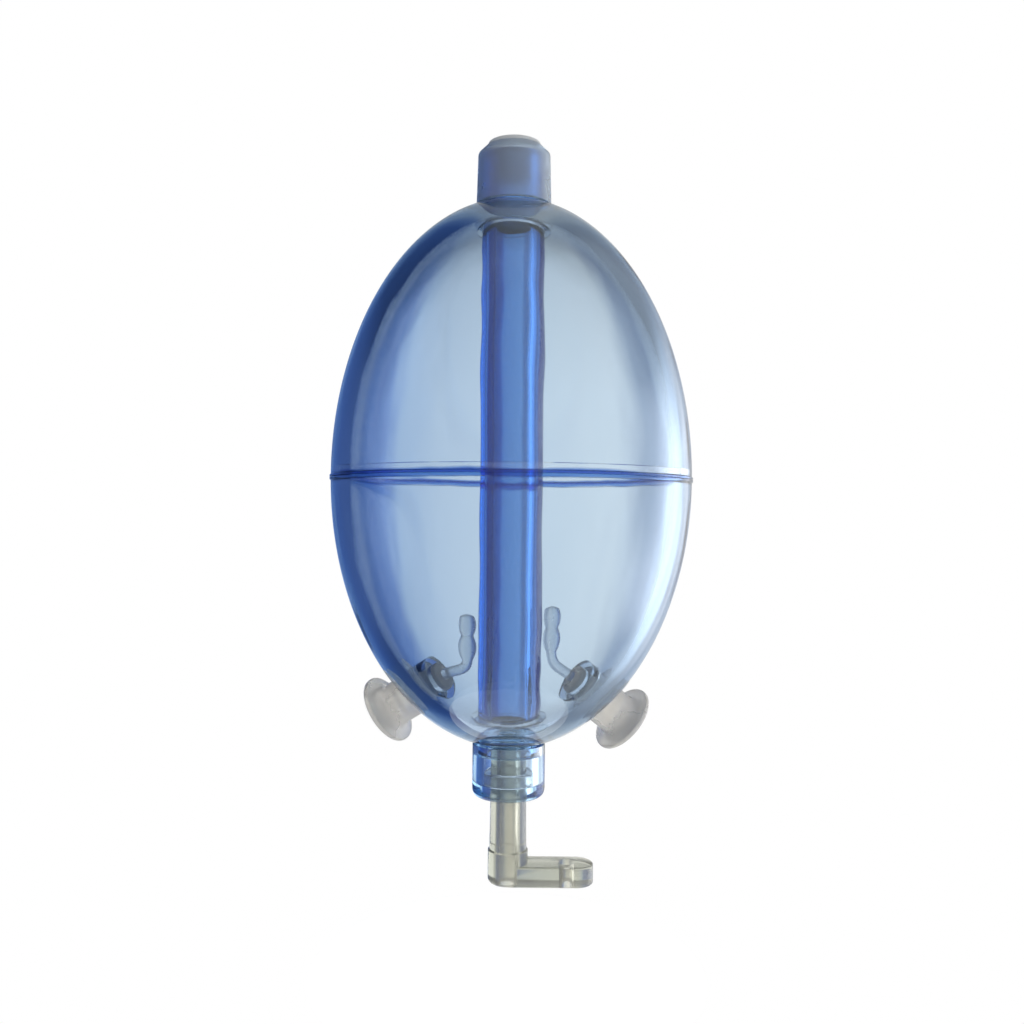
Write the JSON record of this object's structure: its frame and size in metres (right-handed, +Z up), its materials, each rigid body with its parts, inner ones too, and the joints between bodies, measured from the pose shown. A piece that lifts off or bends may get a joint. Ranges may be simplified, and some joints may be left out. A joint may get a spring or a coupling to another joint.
{
  "type": "casting bubble float",
  "caption": "Clear egg-shaped water-filled casting float with a line tube, soft filler plugs on tails, a top collar and a turn key with an eyed arm.",
  "frame": {"origin": "on the line tube's axis, in the plane of the weld seam between the two shells", "axes": "+Z up the line tube towards the collar, +X towards the right plug and the key's arm, +Y away from the viewer"},
  "size_m": [0.0402, 0.0402, 0.0829],
  "materials": {
    "clear_blue": "gloss",
    "deep_blue": "gloss",
    "frosted_grey_blue": "satin",
    "pale_ring": "satin",
    "neck_blue": "gloss",
    "seal_grey": "satin",
    "key_grey": "gloss",
    "soft_clear": "satin"
  },
  "bodies": {
    "float_body": {"upper_shell": "clear_blue", "lower_shell": "clear_blue", "centre_tube": "deep_blue", "top_collar": "frosted_grey_blue", "top_bush": "pale_ring", "neck_socket": "neck_blue"},
    "seal_ring": {"stem_seal": "seal_grey"},
    "turn_key": {"key": "key_grey"},
    "left_plug_body": {"left_plug": "soft_clear", "left_plug_tail": "soft_clear"},
    "right_plug_body": {"right_plug": "soft_clear", "right_plug_tail": "soft_clear"}
  },
  "joints": [
    {"name": "key_swivel", "type": "hinge", "parent": "float_body", "child": "seal_ring", "pos_m": [0, 0, -0.0354], "axis": [0, 0, 1], "continuous": true},
    {"name": "key_slide", "type": "slide", "parent": "seal_ring", "child": "turn_key", "axis": [0, 0, -1], "range_m": [0, 0.0093]},
    {"name": "left_plug_pull", "type": "slide", "parent": "float_body", "child": "left_plug_body", "axis": [-0.7881, 0.2868, -0.5446], "range_m": [0, 0.0065], "deforming": ["left_plug_tail"]},
    {"name": "right_plug_pull", "type": "slide", "parent": "float_body", "child": "right_plug_body", "axis": [0.7206, 0.2911, -0.6293], "range_m": [0, 0.0065], "deforming": ["right_plug_tail"]}
  ]
}
